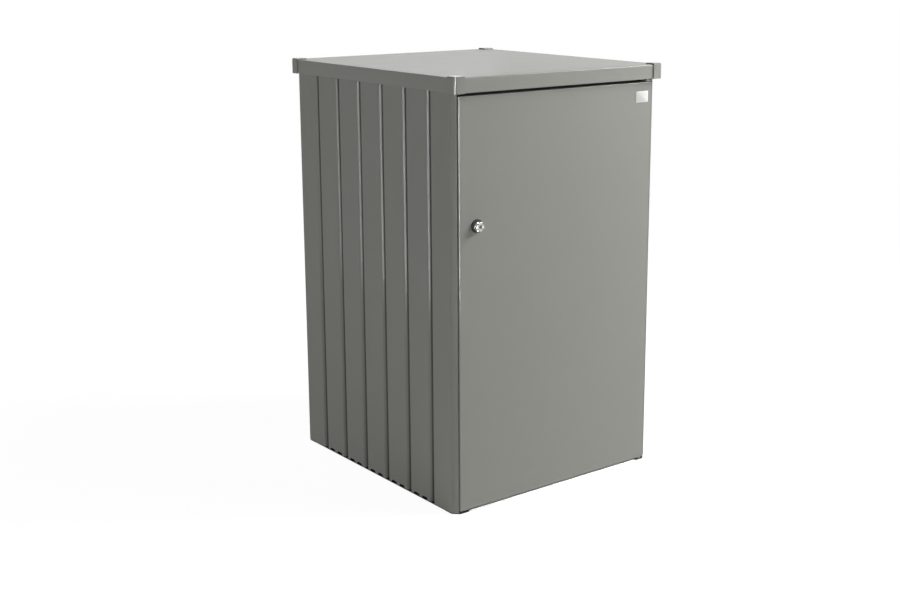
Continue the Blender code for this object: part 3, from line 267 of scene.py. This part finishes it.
# Helpers for shader nodes
class Tree:
    """Adds nodes to a shader tree. A value is a number, a colour or another node's output."""

    def __init__(self, tree):
        self.tree = tree

    def add(self, kind, **settings):
        node = self.tree.nodes.new(kind)
        for key, setting in settings.items():
            setattr(node, key, setting)
        return node

    def feed(self, socket, value):
        if isinstance(value, tuple):
            socket.default_value = (*value, 1)
        elif isinstance(value, (int, float)):
            socket.default_value = value
        else:
            self.tree.links.new(value, socket)

    def math(self, operation, a, b):
        node = self.add("ShaderNodeMath", operation=operation)
        self.feed(node.inputs[0], a)
        self.feed(node.inputs[1], b)
        return node.outputs[0]

    def vector_math(self, operation, source, other=None):
        node = self.add("ShaderNodeVectorMath", operation=operation)
        self.feed(node.inputs[0], source)
        if other is not None:
            node.inputs[1].default_value = other
        return node.outputs

    def ramp(self, value, low, high, to_low=0.0, to_high=1.0, **settings):
        """Map low to to_low and high to to_high, and hold the ends beyond them."""
        node = self.add("ShaderNodeMapRange", **settings)
        self.feed(node.inputs["Value"], value)
        self.feed(node.inputs["From Min"], low)
        self.feed(node.inputs["From Max"], high)
        self.feed(node.inputs["To Min"], to_low)
        self.feed(node.inputs["To Max"], to_high)
        return node.outputs["Result"]

    def mix(self, share, a, b, **settings):
        node = self.add("ShaderNodeMix", data_type="RGBA", **settings)
        self.feed(node.inputs["Factor"], share)
        self.feed(node.inputs[6], a)
        self.feed(node.inputs[7], b)
        return node.outputs[2]

    def mix_shaders(self, share, a, b):
        node = self.add("ShaderNodeMixShader")
        self.feed(node.inputs[0], share)
        self.feed(node.inputs[1], a.outputs[0])
        self.feed(node.inputs[2], b.outputs[0])
        return node.outputs[0]


class Finish(Tree):
    """A new material with one Principled shader."""

    def __init__(self, name):
        self.material = bpy.data.materials.new(name)
        self.material.use_nodes = True
        super().__init__(self.material.node_tree)
        self.shader = self.tree.nodes["Principled BSDF"].inputs
        self.coords = self.add("ShaderNodeTexCoord").outputs

    def noise(self, cells, detail, rough=0.5, stretch=None):
        """Noise with so many cells a metre, which a stretch makes finer along its axes."""
        source = self.coords["Object"]
        if stretch:
            mapping = self.add("ShaderNodeMapping")
            self.feed(mapping.inputs["Vector"], source)
            mapping.inputs["Scale"].default_value = stretch
            source = mapping.outputs["Vector"]
        node = self.add("ShaderNodeTexNoise")
        self.feed(node.inputs["Vector"], source)
        self.feed(node.inputs["Scale"], cells)
        self.feed(node.inputs["Detail"], detail)
        self.feed(node.inputs["Roughness"], rough)
        return node.outputs["Fac"]

    def bump(self, height, distance, strength, after=None):
        """Raise the surface by up to the distance in metres, on top of the bump before it."""
        node = self.add("ShaderNodeBump")
        self.feed(node.inputs["Height"], height)
        self.feed(node.inputs["Distance"], distance)
        self.feed(node.inputs["Strength"], strength)
        if after is not None:
            self.feed(node.inputs["Normal"], after)
        self.feed(self.shader["Normal"], node.outputs["Normal"])
        return node.outputs["Normal"]

    def replace(self, socket, change):
        """Pass a socket's value, or what is linked to it, through a change."""
        linked = self.shader[socket].links
        self.feed(self.shader[socket],
                  change(linked[0].from_socket if linked else self.shader[socket].default_value))


# The part of a noise texture's range that most of its values lie in
NOISE_RANGE = (0.3, 0.7)


def scaled(colour, factor):
    return tuple(part * factor for part in colour)


# Coated sheet: its textures in cells a metre, its bumps in metres, how much clouds lighten
# and darken it, their share beside the flakes, and how nearly a face looks along X or Y, as
# a cosine, where a fold becomes a flat
FLAKE_CELLS = 2600
FLAKE_RANGE = (0.36, 0.64)
CLOUD_CELLS = 5.0
CLOUD_CONTRAST = 0.015
CLOUD_SHARE = 0.5
SHEEN_CELLS = 14.0
SHEEN_SPREAD = 0.02
PEEL_CELLS = 420
PEEL_HEIGHT = 0.00003
GRIT_CELLS = 3000
GRIT_HEIGHT = 0.00001
COATING_BUMP = 0.35
CLEAR_COAT_ROUGHNESS = 0.12
FOLD_TO_FLAT = (0.955, 0.99)
WALL_LOOK = {"colour": SHEET_GREY, "roughness": 0.48, "specular": 0.08, "coat": 0.085,
             "flat_coat": 0.02}


def coating_finish(name, colour, roughness, flake=0.10, specular=0.25, coat=0.0, flat_coat=0.0):
    """Stove-enamelled sheet: fine metallic flake, slight orange peel and faint clouds. Folds
    are glossier than flats that look along X or Y."""
    finish = Finish(name)
    flakes = finish.ramp(finish.noise(FLAKE_CELLS, detail=1.0), *FLAKE_RANGE)
    clouds = finish.ramp(finish.noise(CLOUD_CELLS, detail=3.0, rough=0.55), *NOISE_RANGE)
    flaked = finish.mix(flakes, scaled(colour, 1 - flake), scaled(colour, 1 + flake))
    clouded = finish.mix(clouds, scaled(colour, 1 - CLOUD_CONTRAST),
                         scaled(colour, 1 + CLOUD_CONTRAST))
    finish.feed(finish.shader["Base Color"], finish.mix(CLOUD_SHARE, flaked, clouded))
    finish.feed(finish.shader["Roughness"],
                finish.ramp(finish.noise(SHEEN_CELLS, detail=3.0), *NOISE_RANGE,
                            roughness - SHEEN_SPREAD, roughness + SHEEN_SPREAD))
    peel = finish.bump(finish.noise(PEEL_CELLS, detail=2.0), PEEL_HEIGHT, COATING_BUMP)
    finish.bump(finish.noise(GRIT_CELLS, detail=1.0), GRIT_HEIGHT, COATING_BUMP, after=peel)
    finish.feed(finish.shader["Specular IOR Level"], specular)
    if coat:
        finish.feed(finish.shader["Coat Roughness"], CLEAR_COAT_ROUGHNESS)
        away = finish.vector_math("ABSOLUTE", finish.coords["Normal"])["Vector"]
        axes = finish.add("ShaderNodeSeparateXYZ")
        finish.feed(axes.inputs[0], away)
        facing = finish.math("MAXIMUM", axes.outputs["X"], axes.outputs["Y"])
        finish.feed(finish.shader["Coat Weight"],
                    finish.ramp(facing, *FOLD_TO_FLAT, coat, flat_coat))
    return finish


def coating(name, **look):
    return coating_finish(name, **look).material


# Painted shade in the walls' grooves: the shares of their depth at which it begins and is full,
# its tint, and the least cosine to outwards of a face that it lies on
GROOVE_SHADE_START = 0.45
GROOVE_SHADE_FULL = 0.75
GROOVE_SHADE_TINT = (0.48, 0.48, 0.48)
GROOVE_SHADE_FACING = 0.1


def groove_shaded_coating(wall, outward):
    """A wall's coating, with painted shade in the bottoms of its outer grooves: darker colour and
    less gloss.
    """
    finish = coating_finish(wall + "_coating", **WALL_LOOK)
    into_wall = nodes[wall].matrix_world.inverted()
    away = (into_wall.to_3x3() @ Vector(outward)).normalized()
    corner = max((Vector(c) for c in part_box(wall)), key=lambda c: c.dot(Vector(outward)))
    face = (into_wall @ corner).dot(away)
    place = finish.vector_math("DOT_PRODUCT", finish.coords["Object"], away)["Value"]
    shade_depth = finish.ramp(place, face - GROOVE_SHADE_START * GROOVE_DEPTH, face - GROOVE_SHADE_FULL * GROOVE_DEPTH,
                       interpolation_type="SMOOTHSTEP")
    facing = finish.vector_math("DOT_PRODUCT", finish.coords["Normal"], away)["Value"]
    painted_shade = finish.math("MULTIPLY", shade_depth, finish.math("GREATER_THAN", facing, GROOVE_SHADE_FACING))
    unshaded = finish.math("SUBTRACT", 1.0, painted_shade)
    # Painted shade: the groove bottoms get a darker colour and a duller coat and specular, standing
    # in for their shadow
    finish.replace("Base Color",
                   lambda colour: finish.mix(painted_shade, colour, GROOVE_SHADE_TINT, blend_type="MULTIPLY"))
    for socket in ("Coat Weight", "Specular IOR Level"):
        finish.replace(socket, lambda value: finish.math("MULTIPLY", value, unshaded))
    return finish.material


# Plated steel: dull patches in cells a metre, their tones, and how its grain changes its
# roughness and surface, in metres
PATCH_CELLS = 22.0
PATCH_RANGE = (0.35, 0.65)
PATCH_TONES = (0.9, 1.06)
GRAIN_ROUGHNESS = (-0.07, 0.09)
GRAIN_HEIGHT = 0.00002


def plated(name, colour, roughness, cells=260.0, stretch=(1.0, 1.0, 1.0)):
    """Zinc-plated or ground steel with a grain and dull patches."""
    finish = Finish(name)
    grain = finish.noise(cells, detail=4.0, rough=0.6, stretch=stretch)
    patch = finish.ramp(finish.noise(PATCH_CELLS, detail=3.0), *PATCH_RANGE)
    finish.feed(finish.shader["Base Color"],
                finish.mix(patch, *[scaled(colour, tone) for tone in PATCH_TONES]))
    finish.feed(finish.shader["Roughness"],
                finish.ramp(grain, *NOISE_RANGE, *[roughness + step for step in GRAIN_ROUGHNESS]))
    finish.bump(grain, GRAIN_HEIGHT, strength=0.5)
    finish.feed(finish.shader["Metallic"], 1.0)
    return finish.material


# Chrome: smears in cells a metre, and a fine polish grain, its height in metres
SMEAR_CELLS = 60.0
POLISH_CELLS = 900.0
POLISH_HEIGHT = 0.000005


def chrome(name, colour, smooth, smeared):
    """Chrome whose roughness goes from smooth to smeared, as handling leaves it."""
    finish = Finish(name)
    finish.feed(finish.shader["Roughness"],
                finish.ramp(finish.noise(SMEAR_CELLS, detail=3.0), *NOISE_RANGE, smooth, smeared))
    finish.feed(finish.shader["Base Color"], colour)
    finish.feed(finish.shader["Metallic"], 1.0)
    finish.bump(finish.noise(POLISH_CELLS, detail=2.0), POLISH_HEIGHT, strength=0.4)
    return finish.material


def grained(name, colours, roughness, cells, height, strength, coat=0.0):
    """Rubber, nylon or enamel: a fine grain between two colours, its height in metres."""
    finish = Finish(name)
    grain = finish.noise(cells, detail=2.0)
    finish.feed(finish.shader["Base Color"], finish.mix(finish.ramp(grain, *NOISE_RANGE), *colours))
    finish.feed(finish.shader["Roughness"], roughness)
    if coat:
        finish.feed(finish.shader["Coat Weight"], coat)
        finish.feed(finish.shader["Coat Roughness"], CLEAR_COAT_ROUGHNESS)
    finish.bump(grain, height, strength)
    return finish.material


wall_paint = coating("wall_coating", **WALL_LOOK)
door_paint = coating("door_coating", colour=SHEET_GREY, roughness=0.44, specular=0.12, coat=0.8,
                     flat_coat=0.05)
lid_paint = coating("lid_coating", colour=SHEET_GREY, roughness=0.44, specular=0.15, coat=0.22,
                    flat_coat=0.04)
cap_paint = coating("cap_coating", colour=SHEET_GREY, roughness=0.44, specular=0.10, coat=0.9,
                    flat_coat=0.05)
frame_paint = coating("frame_coating", colour=FRAME_GREY, roughness=0.5)
zinc = plated("zinc_plate", ZINC_GREY, roughness=0.42)
bright = chrome("chrome_plate", CHROME_GREY, smooth=0.20, smeared=0.28)
# Dark coating: the rosette's own dark colour, and painted shade where it lies on the front header
# and base rails, in the dark gaps above the door and under the walls
dark_paint = coating("dark_and_shade_coating", colour=DARK_AND_SHADE_GREY, roughness=0.45, flake=0.06)
strut_enamel = grained("strut_enamel", ENAMEL_BLACKS, roughness=0.32, cells=500.0,
                       height=0.00002, strength=0.3, coat=0.4)
keyway_steel = plated("keyway_steel", KEYWAY_GREY, roughness=0.42)
soft_rubber = grained("rubber", RUBBER_BLACKS, roughness=0.82, cells=1400.0,
                      height=0.00004, strength=0.5)
grey_nylon = grained("nylon", NYLON_GREYS, roughness=0.5, cells=700.0,
                     height=0.00002, strength=0.4)
rod_steel = plated("ground_rod", ROD_GREY, roughness=0.16, cells=300.0, stretch=(1.0, 1.0, 12.0))
bare_plate = coating("plate_coating", colour=PLATE_WHITE, roughness=0.45, flake=0.02)
plate_field = coating("plate_field_coating", colour=PLATE_FIELD_WHITE, roughness=0.55, flake=0.02)

BY_SLOT = {
    "wall_paint": wall_paint, "frame_paint": frame_paint, "door_paint": door_paint,
    "lid_paint": lid_paint, "dark_paint": dark_paint, "hinge_steel": zinc,
    "bright_chrome": bright, "strut_black": strut_enamel, "black_rubber": soft_rubber,
    "grey_nylon": grey_nylon,
}
ROUNDED_SLOTS = ("hinge_steel", "bright_chrome")
for part in frame["record"]["subparts"]:
    slot = part["material_slot"]
    dress(part["node"], BY_SLOT[slot], EDGE_ROUNDING if slot in ROUNDED_SLOTS else 0.0)
for side, _ in SIDES:
    nodes["strut_rod_" + side].data.materials[0] = rod_steel
for wall, outward in (("side_wall_left", LEFT), ("side_wall_right", RIGHT), ("rear_wall", REAR)):
    nodes[wall].data.materials[0] = groove_shaded_coating(wall, outward)
for name in nodes:
    if name.startswith("lid_cap_"):
        nodes[name].data.materials[0] = cap_paint


# Bare plate on the door
def front_plate(name, centre, material, half_width, half_height, thickness, corner, rim):
    """A thin plate with a rounded rim on a face that looks to the front."""
    bm = bmesh.new()
    layers = ((0.0, 0.0), (0.0, thickness - rim),
              (rim * RIM_MIDDLE, thickness - rim * RIM_MIDDLE), (rim, thickness))
    loft(bm, [on_front(centre,
                       rounded_rectangle(half_width - inset, half_height - inset,
                                         max(corner - inset, SMALLEST_CORNER)),
                       rise)
              for inset, rise in layers])
    mesh_piece(name, bm, material, "door")


door_low, door_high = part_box("door_panel")
plate_centre = (door_high.x - PLATE_FROM_EDGE, door_low.y + PLATE_SUNK,
                door_high.z - PLATE_FROM_TOP)
front_plate("door_plate", plate_centre, bare_plate, **PLATE)
front_plate("door_plate_field", plate_centre, plate_field, **PLATE_FIELD)


# Rivets
def rivet(bm, place, normal, radius, height):
    """A blind rivet's domed head with the pulled mandrel's pit in its middle."""
    turn = Vector(UP).rotation_difference(Vector(normal)).to_matrix().to_4x4()
    move = Matrix.Translation(Vector(place)) @ turn
    profile = [(radius * share, height * rise) for share, rise in RIVET_DOME]
    profile += [(PIT_RADIUS, height), (PIT_RADIUS * PIT_FLOOR_SHARE, height * PIT_FLOOR_RISE)]
    loops = [[move @ Vector((u, v, rise)) for u, v in circle(r, RIVET_SIDES)]
             for r, rise in profile]
    loft(bm, loops + [[move @ Vector((0, 0, height * PIT_FLOOR_RISE))]])


def rivets(name, places, normal, body, size):
    bm = bmesh.new()
    for place in places:
        rivet(bm, place, normal, **size)
    mesh_piece(name, bm, zinc, body)


def hinge_rivets(side):
    """The rivets of a lid hinge's two leaves."""
    low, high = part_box("lid_hinge_wall_leaf_" + side)
    middle = (low.x + high.x) / 2
    leaf_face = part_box("rear_wall")[1].y + SEAT_GAP + LEAF_SHEET
    rivets("wall_leaf_rivets_" + side,
           [(middle + dx, leaf_face, low.z + dz) for dx in LEAF_COLUMNS for dz in WALL_LEAF_ROWS],
           REAR, "shed", HINGE_RIVET)
    lid_low, lid_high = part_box("lid_panel")
    rivets("lid_leaf_rivets_" + side,
           [(middle + dx, lid_high.y, lid_low.z + LID_LEAF_ROW) for dx in LEAF_COLUMNS],
           REAR, "lid", RIVET)


def strut_rivets(side, way):
    """The rivets of a strut's lower bracket, on the wall, and upper bracket, on the lid."""
    low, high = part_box("strut_lower_bracket_" + side)
    foot = (low if way < 0 else high).x - way * BRACKET_SHEET
    rivets("strut_wall_rivets_" + side,
           [(foot, high.y - STRUT_WALL_FROM_REAR, (low.z + high.z) / 2 + dz)
            for dz in STRUT_WALL_ROWS],
           (-way, 0, 0), "shed", RIVET)
    low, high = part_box("strut_upper_bracket_" + side)
    foot = (low if way < 0 else high).x - way * STRUT_LID_FROM_SIDE
    rivets("strut_lid_rivets_" + side,
           [(foot, (low.y + high.y) / 2 + dy, high.z - BRACKET_SHEET)
            for dy in STRUT_LID_COLUMNS],
           DOWN, "lid", RIVET)


def upright_plate_rivets(name, plate, from_end, body):
    """Two rivets on the rear of an upright plate, near its lower and upper ends."""
    low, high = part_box(plate)
    rivets(name, [((low.x + high.x) / 2, high.y, z) for z in (low.z + from_end, high.z - from_end)],
           REAR, body, RIVET)


for side, _ in SIDES:
    hinge_rivets(side)
for side, way in SIDES:
    strut_rivets(side, way)
upright_plate_rivets("strike_plate_rivets", "strike_plate", STRIKE_RIVET_FROM_END, "shed")
upright_plate_rivets("lock_plate_rivets", "door_lock_plate", LOCK_RIVET_FROM_END, "door")

low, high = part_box("door_threshold")
rivets("threshold_rivets",
       [(x, (low.y + high.y) / 2, high.z)
        for x in (low.x + THRESHOLD_RIVET_FROM_END, high.x - THRESHOLD_RIVET_FROM_END)],
       UP, "shed", RIVET)
low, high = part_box("door_hinge_bracket")
rivets("hinge_bracket_rivets",
       [(x, high.y - HINGE_TAB, high.z - TAB_RIVET_FROM_EDGE)
        for x in (low.x + TAB_RIVET_FROM_EDGE, high.x - TAB_RIVET_FROM_EDGE)],
       FRONT, "shed", TAB_RIVET)


# Key cylinder
def keyway():
    """The dark face of the key cylinder with its slot, seen in the knob's middle."""
    low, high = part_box("lock_cylinder")
    centre = ((low.x + high.x) / 2, low.y, (low.z + high.z) / 2)
    slot = [(max(-SLOT_HALF_WIDTH, min(SLOT_HALF_WIDTH, u)), v)
            for u, v in circle(SLOT_HALF_LENGTH, KEY_SIDES)]
    layers = [(circle(KEY_FACE_RADIUS, KEY_SIDES), 0.0),
              (circle(KEY_FACE_RADIUS, KEY_SIDES), KEY_FACE_RIM),
              (circle(KEY_FACE_RADIUS - KEY_FACE_BEVEL, KEY_SIDES), KEY_FACE_RISE),
              (circle(KEY_FIELD_RADIUS, KEY_SIDES), KEY_FACE_RISE),
              (slot, KEY_FACE_RISE), (slot, SLOT_FLOOR_RISE)]
    bm = bmesh.new()
    loft(bm, [on_front(centre, outline, rise) for outline, rise in layers])
    mesh_piece("lock_keyway", bm, keyway_steel, "lock")


keyway()


# Floor and world
def background_rays(tree):
    """One for camera, glossy and transmission rays, which see the white background."""
    path = tree.add("ShaderNodeLightPath").outputs
    total = path["Is Camera Ray"]
    for kind in ("Is Glossy Ray", "Is Transmission Ray"):
        total = tree.math("MAXIMUM", total, path[kind])
    return total


def floor():
    """A pale round floor that keeps the shed's shadow and fades into the white around it."""
    bm = bmesh.new()
    bmesh.ops.create_circle(bm, cap_ends=True, segments=FLOOR_SEGMENTS, radius=FLOOR_RADIUS)
    mesh = bpy.data.meshes.new("floor")
    bm.to_mesh(mesh)
    bm.free()
    material = bpy.data.materials.new("pale_floor")
    material.use_nodes = True
    tree = Tree(material.node_tree)
    material.node_tree.nodes.clear()
    out = tree.add("ShaderNodeOutputMaterial")
    matt = tree.add("ShaderNodeBsdfDiffuse")
    tree.feed(matt.inputs["Color"], FLOOR_COLOUR)
    glow = tree.add("ShaderNodeEmission")
    tree.feed(glow.inputs["Color"], WHITE)
    coords = tree.add("ShaderNodeTexCoord")
    radius = tree.vector_math("LENGTH", coords.outputs["Object"])["Value"]
    tree.feed(glow.inputs["Strength"], tree.ramp(radius, *FLOOR_FADE, *FLOOR_GLOW))
    share = tree.math("MULTIPLY", background_rays(tree),
                      tree.ramp(radius, *FLOOR_FADE, *FLOOR_GLOW_SHARE))
    tree.feed(out.inputs["Surface"], tree.mix_shaders(share, matt, glow))
    mesh.materials.append(material)
    plane = link(bpy.data.objects.new("floor", mesh))
    plane.location.z = -FLOOR_DROP


def world():
    """A faint even light, seen as white by the rays that see the background."""
    scene = bpy.context.scene
    scene.world = scene.world or bpy.data.worlds.new("studio")
    scene.world.use_nodes = True
    tree = Tree(scene.world.node_tree)
    scene.world.node_tree.nodes.clear()
    out = tree.add("ShaderNodeOutputWorld")
    light = tree.add("ShaderNodeBackground")
    tree.feed(light.inputs["Color"], WORLD_COLOUR)
    tree.feed(light.inputs["Strength"], WORLD_LIGHT)
    white = tree.add("ShaderNodeBackground")
    tree.feed(white.inputs["Color"], WHITE)
    tree.feed(white.inputs["Strength"], 1.0)
    tree.feed(out.inputs["Surface"], tree.mix_shaders(background_rays(tree), light, white))


floor()
world()


# Lamps
def soft_box(name, azimuth, elevation, distance, aim_height, size, watts, matt=True, glossy=True):
    """A lamp, its size width and height, that aims at a height above the origin. Its azimuth
    in degrees goes from the front to the right. Matt or glossy surfaces may ignore it."""
    light = bpy.data.lights.new(name, "AREA")
    light.shape = "RECTANGLE"
    light.size, light.size_y = size
    light.energy = watts
    turn, tilt = math.radians(azimuth), math.radians(elevation)
    away = Vector((math.cos(tilt) * math.sin(turn), -math.cos(tilt) * math.cos(turn),
                   math.sin(tilt)))
    obj = link(bpy.data.objects.new(name, light))
    obj.location = Vector((0, 0, aim_height)) + away * distance
    obj.rotation_euler = (-away).to_track_quat("-Z", "Y").to_euler()
    obj.visible_diffuse = matt
    obj.visible_glossy = glossy


soft_box("key", azimuth=56, elevation=30, distance=3.1, aim_height=1.05, size=(1.4, 1.4),
         watts=112)
soft_box("key_far", azimuth=42, elevation=20, distance=6.0, aim_height=0.60, size=(2.6, 2.4),
         watts=80)
soft_box("low_front", azimuth=0, elevation=1, distance=3.4, aim_height=0.12, size=(2.0, 0.2),
         watts=5.0, glossy=False)
soft_box("top", azimuth=190, elevation=78, distance=4.2, aim_height=1.20, size=(3.0, 3.0),
         watts=2)
soft_box("back_left", azimuth=157, elevation=16, distance=5.5, aim_height=1.25, size=(3.2, 2.0),
         watts=9)
soft_box("back", azimuth=172, elevation=4, distance=5.5, aim_height=0.60, size=(2.4, 1.6),
         watts=60, glossy=False)
soft_box("left_high", azimuth=-95, elevation=50, distance=4.5, aim_height=0.65, size=(1.6, 1.6),
         watts=9)
soft_box("left_low", azimuth=-95, elevation=3, distance=4.5, aim_height=0.30, size=(2.4, 0.5),
         watts=38)
soft_box("fold_highlight", azimuth=-38.9, elevation=0, distance=2.83, aim_height=0.62,
         size=(0.66, 1.2), watts=110, matt=False)

# Camera
camera = bpy.data.cameras.new("camera")
camera.sensor_width = SENSOR_MM
camera.sensor_fit = "HORIZONTAL"
camera.lens = FOCAL_PX / PICTURE_WIDTH_PX * SENSOR_MM
camera.shift_x = (PICTURE_WIDTH_PX / 2 - CENTRE_PX[0]) / PICTURE_WIDTH_PX
camera.shift_y = (CENTRE_PX[1] - PICTURE_HEIGHT_PX / 2) / PICTURE_WIDTH_PX
camera.clip_end = CAMERA_REACH
viewer = link(bpy.data.objects.new("camera", camera))
viewer.location = CAMERA_PLACE
viewer.rotation_euler = (math.radians(90 - CAMERA_PITCH), 0, math.radians(-CAMERA_YAW))
bpy.context.scene.camera = viewer
bpy.context.scene.view_settings.view_transform = "Standard"
